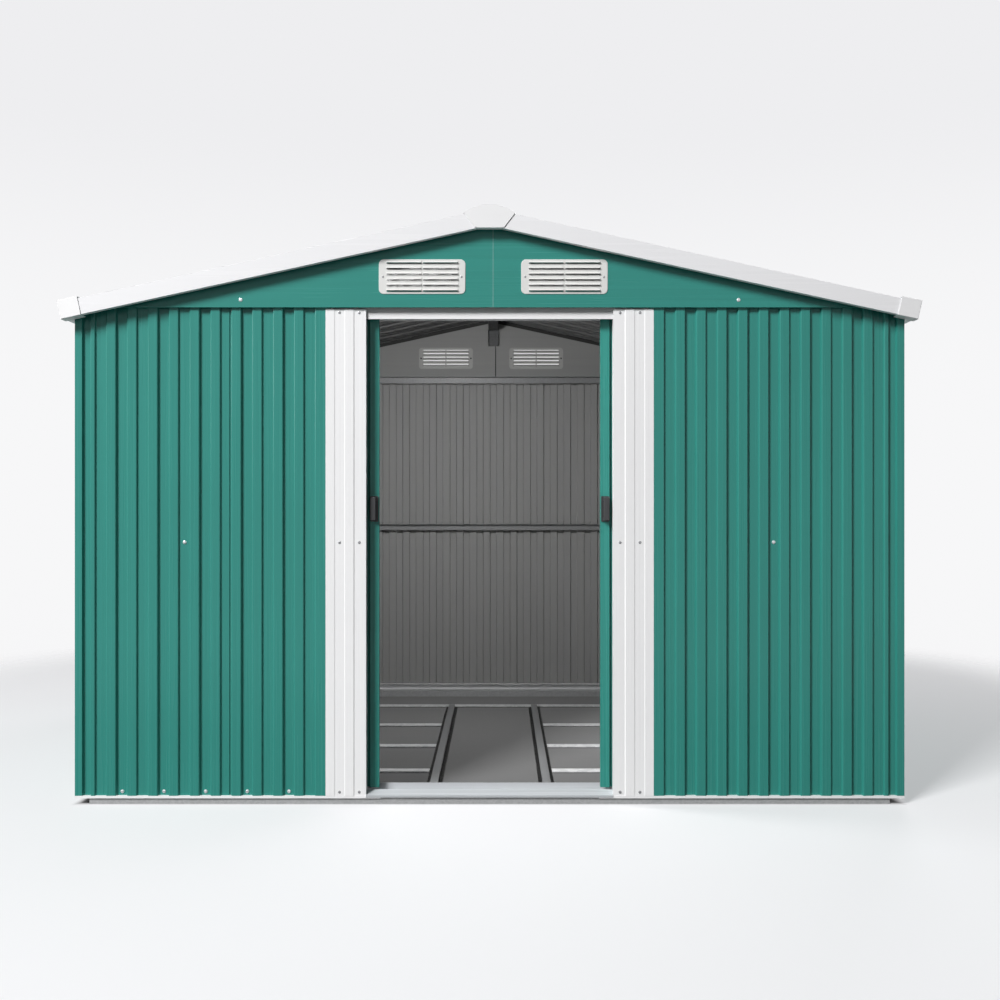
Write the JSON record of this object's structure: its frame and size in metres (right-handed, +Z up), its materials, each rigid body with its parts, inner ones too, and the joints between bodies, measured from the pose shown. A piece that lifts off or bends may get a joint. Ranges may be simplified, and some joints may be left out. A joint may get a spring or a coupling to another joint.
{
  "type": "metal storage shed",
  "caption": "Garden shed of ribbed steel sheet on a folded frame, with a low gable roof, louvred vents and a pair of sliding doors.",
  "frame": {"origin": "centre of the shed's footprint on the ground", "axes": "+Z up, +X along the door front, to the right seen from outside, front faces -Y"},
  "size_m": [2.77, 1.95, 1.9318],
  "materials": {
    "green_sheet": "green coil-coated steel sheet, satin, grey inside",
    "white_trim": "white coil-coated steel, satin",
    "galvanised_steel": "galvanised steel, dull grey",
    "white_plastic": "white moulded plastic",
    "dark_plastic": "dark grey moulded plastic",
    "grey_plastic": "grey nylon gliders"
  },
  "bodies": {
    "shed": {"floor_end_bars": "galvanised_steel", "floor_side_bars": "galvanised_steel", "floor_channels": "galvanised_steel", "floor_cross_bars": "galvanised_steel", "front_bottom_rails": "white_trim", "back_bottom_rail": "white_trim", "side_bottom_rails": "white_trim", "door_threshold": "white_trim", "door_bottom_track": "white_trim", "front_left_wall": "green_sheet", "front_right_wall": "green_sheet", "back_wall": "green_sheet", "right_wall": "green_sheet", "left_wall": "green_sheet", "corner_angles": "green_sheet", "left_jamb_trim": "white_trim", "right_jamb_trim": "white_trim", "front_mid_rails": "galvanised_steel", "back_mid_rail": "galvanised_steel", "side_mid_rails": "galvanised_steel", "front_top_rail": "white_trim", "back_top_rail": "galvanised_steel", "side_top_rails": "galvanised_steel", "front_right_gable": "green_sheet", "front_left_gable": "green_sheet", "back_left_gable": "green_sheet", "back_right_gable": "green_sheet", "front_left_vent": "white_plastic", "front_right_vent": "white_plastic", "back_vents": "white_plastic", "ridge_beam": "galvanised_steel", "ridge_brackets": "galvanised_steel", "purlins": "galvanised_steel", "left_roof_sheet": "green_sheet", "right_roof_sheet": "green_sheet", "ridge_cap": "white_trim", "front_left_fascia": "white_trim", "front_right_fascia": "white_trim", "back_left_fascia": "white_trim", "back_right_fascia": "white_trim", "left_eave_trim": "white_trim", "right_eave_trim": "white_trim", "eave_corner_caps": "white_plastic", "ridge_end_caps": "white_plastic"},
    "left_door": {"left_door_leaf": "green_sheet", "left_door_rails": "galvanised_steel", "left_door_handle": "dark_plastic", "left_door_gliders": "grey_plastic"},
    "right_door": {"right_door_leaf": "green_sheet", "right_door_rails": "galvanised_steel", "right_door_handle": "dark_plastic", "right_door_gliders": "grey_plastic"}
  },
  "joints": [
    {"name": "left_door_slide", "type": "slide", "parent": "shed", "child": "left_door", "axis": [1, 0, 0], "range_m": [0, 0.359]},
    {"name": "right_door_slide", "type": "slide", "parent": "shed", "child": "right_door", "axis": [-1, 0, 0], "range_m": [0, 0.359]}
  ]
}
